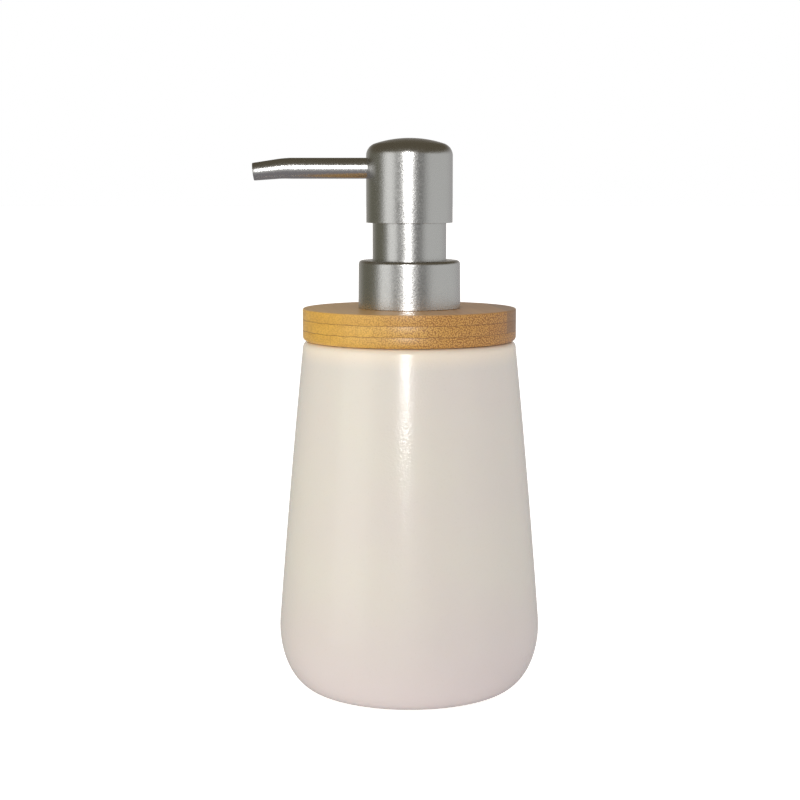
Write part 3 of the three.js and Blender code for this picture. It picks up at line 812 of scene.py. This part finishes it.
def make_head_shell(material):
    """A drawn steel cap: a straight skirt, a rounded shoulder and a shallow dome."""
    bottom, top, wall, skirt_inside = low("head_shell"), high("head_shell"), 0.55, 3.0
    corner_r, dome_z = HEAD_RADIUS - CORNER_RADIUS, top - DOME_RADIUS
    corner_z = dome_z + math.sqrt((DOME_RADIUS - CORNER_RADIUS) ** 2 - corner_r**2)
    meet = math.degrees(math.atan2(corner_z - dome_z, corner_r))
    inner_dome, inner_corner = DOME_RADIUS - wall, CORNER_RADIUS - wall
    outline = [
        *eased([
            (HEAD_RADIUS - wall, bottom + skirt_inside),
            (HEAD_RADIUS - wall, bottom, 0.1),
            (HEAD_RADIUS, bottom, 0.07),
            (HEAD_RADIUS, corner_z),
        ], ring=False),
        *arc(corner_r, corner_z, CORNER_RADIUS, CORNER_RADIUS, 0, meet, 20)[1:],
        *arc(0, dome_z, DOME_RADIUS, DOME_RADIUS, meet, 90, 16)[1:-1],
        (0, top),
        (0, top - wall),
        *arc(0, dome_z, inner_dome, inner_dome, 90, meet, 6)[1:],
        *arc(corner_r, corner_z, inner_corner, inner_corner, meet, 0, 6)[1:],
    ]
    bm = bmesh.new()
    spin(bm, outline, 192)
    finished("head_shell_drawn", bm, material, "head", "head_shell")


SPOUT_STRAIGHT = 35.2  # distance from the pump's axis to the spout's bend, in millimetres
SPOUT_NARROWING = 0.46  # how much smaller the spout's radius is at the tip than before the bend


def spout_line():
    """The spout's centre line as (distance along, x, z, lean), from inside the head to the tip."""
    straight, bend, angle, tip = SPOUT_STRAIGHT, 35.0, math.radians(6.4), 7.2
    above_skirt, in_head, out_of_head, spacing = 16.0, [5.9, 12.0, 13.2], 14.5, 1.5
    axis = low("head_shell") + above_skirt
    curve = bend * angle
    stations = list(in_head)
    stations += [out_of_head + spacing * i for i in range(14)]
    stations += [straight + curve * i / 10 for i in range(11)]
    stations += [straight + curve + tip * i / 8 for i in range(1, 9)]
    line = []
    for s in stations:
        bent = min(max(s - straight, 0.0), curve)
        lean = bent / bend
        past = max(0.0, s - straight - curve)
        along = min(s, straight) + bend * math.sin(lean) + past * math.cos(lean)
        drop = bend * (1 - math.cos(lean)) + past * math.sin(lean)
        line.append((s, -along, axis - drop, lean))
    return line


def make_pipe(name, material, node, outer, wall, shorter=0.0):
    """A thin tube along the spout's line that narrows from the bend to the tip, with rounded rims."""
    sides, rim, rim_room = 72, 0.45 * wall, 0.3
    line = spout_line()
    tip, end = line[-1], line[-1][0]
    stops = [station for station in line if station[0] < end - shorter - rim_room]
    rows = []

    def ring(station, r, back=0.0):
        _, x, z, lean = station
        x, z = x + back * math.cos(lean), z + back * math.sin(lean)
        row = []
        for k in range(sides):
            a = 2 * math.pi * k / sides
            out, up = r * math.cos(a), r * math.sin(a)
            row.append((x - up * math.sin(lean), out, z + up * math.cos(lean)))
        rows.append(row)

    def narrowed(s):
        return SPOUT_NARROWING * min(max((s - SPOUT_STRAIGHT) / (end - SPOUT_STRAIGHT), 0.0), 1.0)

    def rounded(degrees, edge, inward):
        a = math.radians(degrees)
        ring(tip, edge - inward * rim * (1 - math.cos(a)), shorter + rim * (1 - math.sin(a)))

    for station in stops:
        ring(station, outer - narrowed(station[0]))
    far = outer - narrowed(end)
    quarter = (0, 30, 60, 90)
    for degrees in quarter:
        rounded(degrees, far, 1)
    for degrees in reversed(quarter):
        rounded(degrees, far - wall, -1)
    for station in reversed(stops):
        ring(station, outer - wall - narrowed(station[0]))
    bm = bmesh.new()
    made = [[bm.verts.new(p) for p in row] for row in rows]
    for a, b in zip(made, made[1:] + made[:1]):
        for k in range(sides):
            n = (k + 1) % sides
            bm.faces.new((a[k], a[n], b[n], b[k]))
    finished(name, bm, material, "head", node)


# ---------------------------------------------------------------- build

bpy.context.scene.view_settings.view_transform = "Standard"
camera()
studio()
floor()

lid_top = high("bamboo_lid")
ply_lines = [lid_top - 2 * PLY, lid_top - PLY]

steel = satin_steel()
white = moulded("white_plastic", (0.86, 0.86, 0.84), rough_low=0.36, rough_high=0.46, subsurface=0.15)
natural = moulded("natural_plastic", (0.78, 0.81, 0.82), rough_low=0.28, rough_high=0.36, subsurface=0.5)
silicone = moulded("silicone", (0.80, 0.80, 0.77), rough_low=0.5, rough_high=0.6, subsurface=0.4)
bright = bright_steel()

make_bottle(glazed_ceramic(high("bottle")))
make_lid(bamboo(ply_lines, lid_top), ply_lines)
make_seal_ring(silicone)
make_neck_insert(white)
make_closure(white)
make_collar_shell(steel)
make_neck_shell(steel)
make_pump_housing(white)
make_dip_tube(natural)
make_pump_spring(bright)
make_head_shell(steel)
make_pipe("spout_tube_satin", steel, "spout_tube", outer=3.08, wall=0.38)
make_pipe("spout_liner_tube", white, "spout_liner", outer=2.65, wall=0.6, shorter=0.6)

# The hidden pieces that keep their CAD mesh and only get a material.
kept = {
    "neck_gasket": silicone,
    "lock_ring": white,
    "ball_cage": white,
    "inlet_ball": bright,
    "head_core": white,
    "stem": white,
    "valve_stem": white,
    "piston": natural,
}
for node, material in kept.items():
    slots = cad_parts[node].data.materials
    slots.clear()
    slots.append(material)
